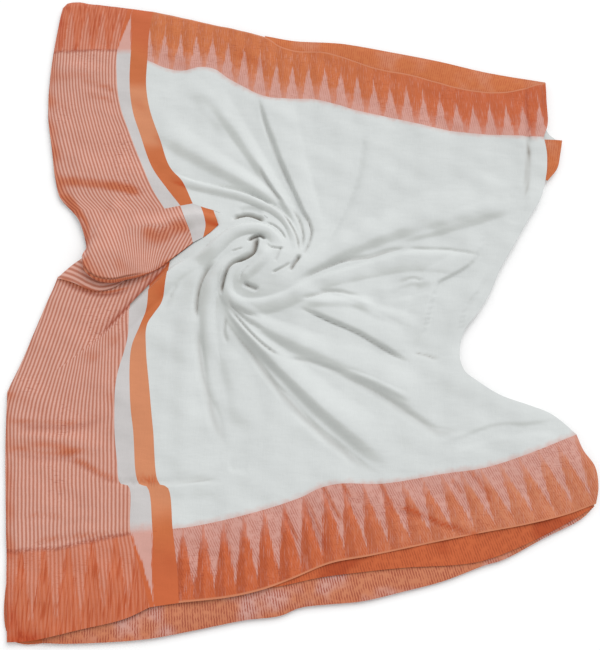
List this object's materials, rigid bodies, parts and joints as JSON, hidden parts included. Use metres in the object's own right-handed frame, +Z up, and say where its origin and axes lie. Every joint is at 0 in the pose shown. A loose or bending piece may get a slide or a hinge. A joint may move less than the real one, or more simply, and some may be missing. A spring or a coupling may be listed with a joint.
{
  "type": "folded saree",
  "caption": "Cotton saree folded into a flat stack and twisted at its middle into a rosette, with a striped end piece and temple-tooth borders.",
  "frame": {"origin": "middle of the flat underside", "axes": "+Y along the longer side, towards the narrower end of the layout's left edge, +X from the striped end piece to the plain side, +Z up"},
  "size_m": [0.9266, 1.1211, 0.041],
  "materials": {
    "pallu": "handloom cotton, fine orange and pale pink stripes",
    "margin": "handloom cotton, plain off-white",
    "band": "handloom cotton, plain orange",
    "field": "handloom cotton, plain off-white",
    "border": "handloom cotton, orange with pale temple teeth",
    "stack": "handloom cotton, the edges of the folded layers"
  },
  "bodies": {
    "root": {"pallu_upper": "pallu", "pallu_lobe": "pallu", "pallu_pocket": "pallu", "pallu_flap": "pallu", "pallu_lower": "pallu", "margin_upper": "margin", "margin_lobe": "margin", "margin_lower": "margin", "band_upper": "band", "band_lobe": "band", "band_lower": "band", "field": "field", "border_top": "border", "border_bottom": "border", "under_top": "border", "under_right": "border", "under_bottom_1": "border", "under_bottom_2": "border", "hidden_layers": "stack"}
  },
  "joints": []
}
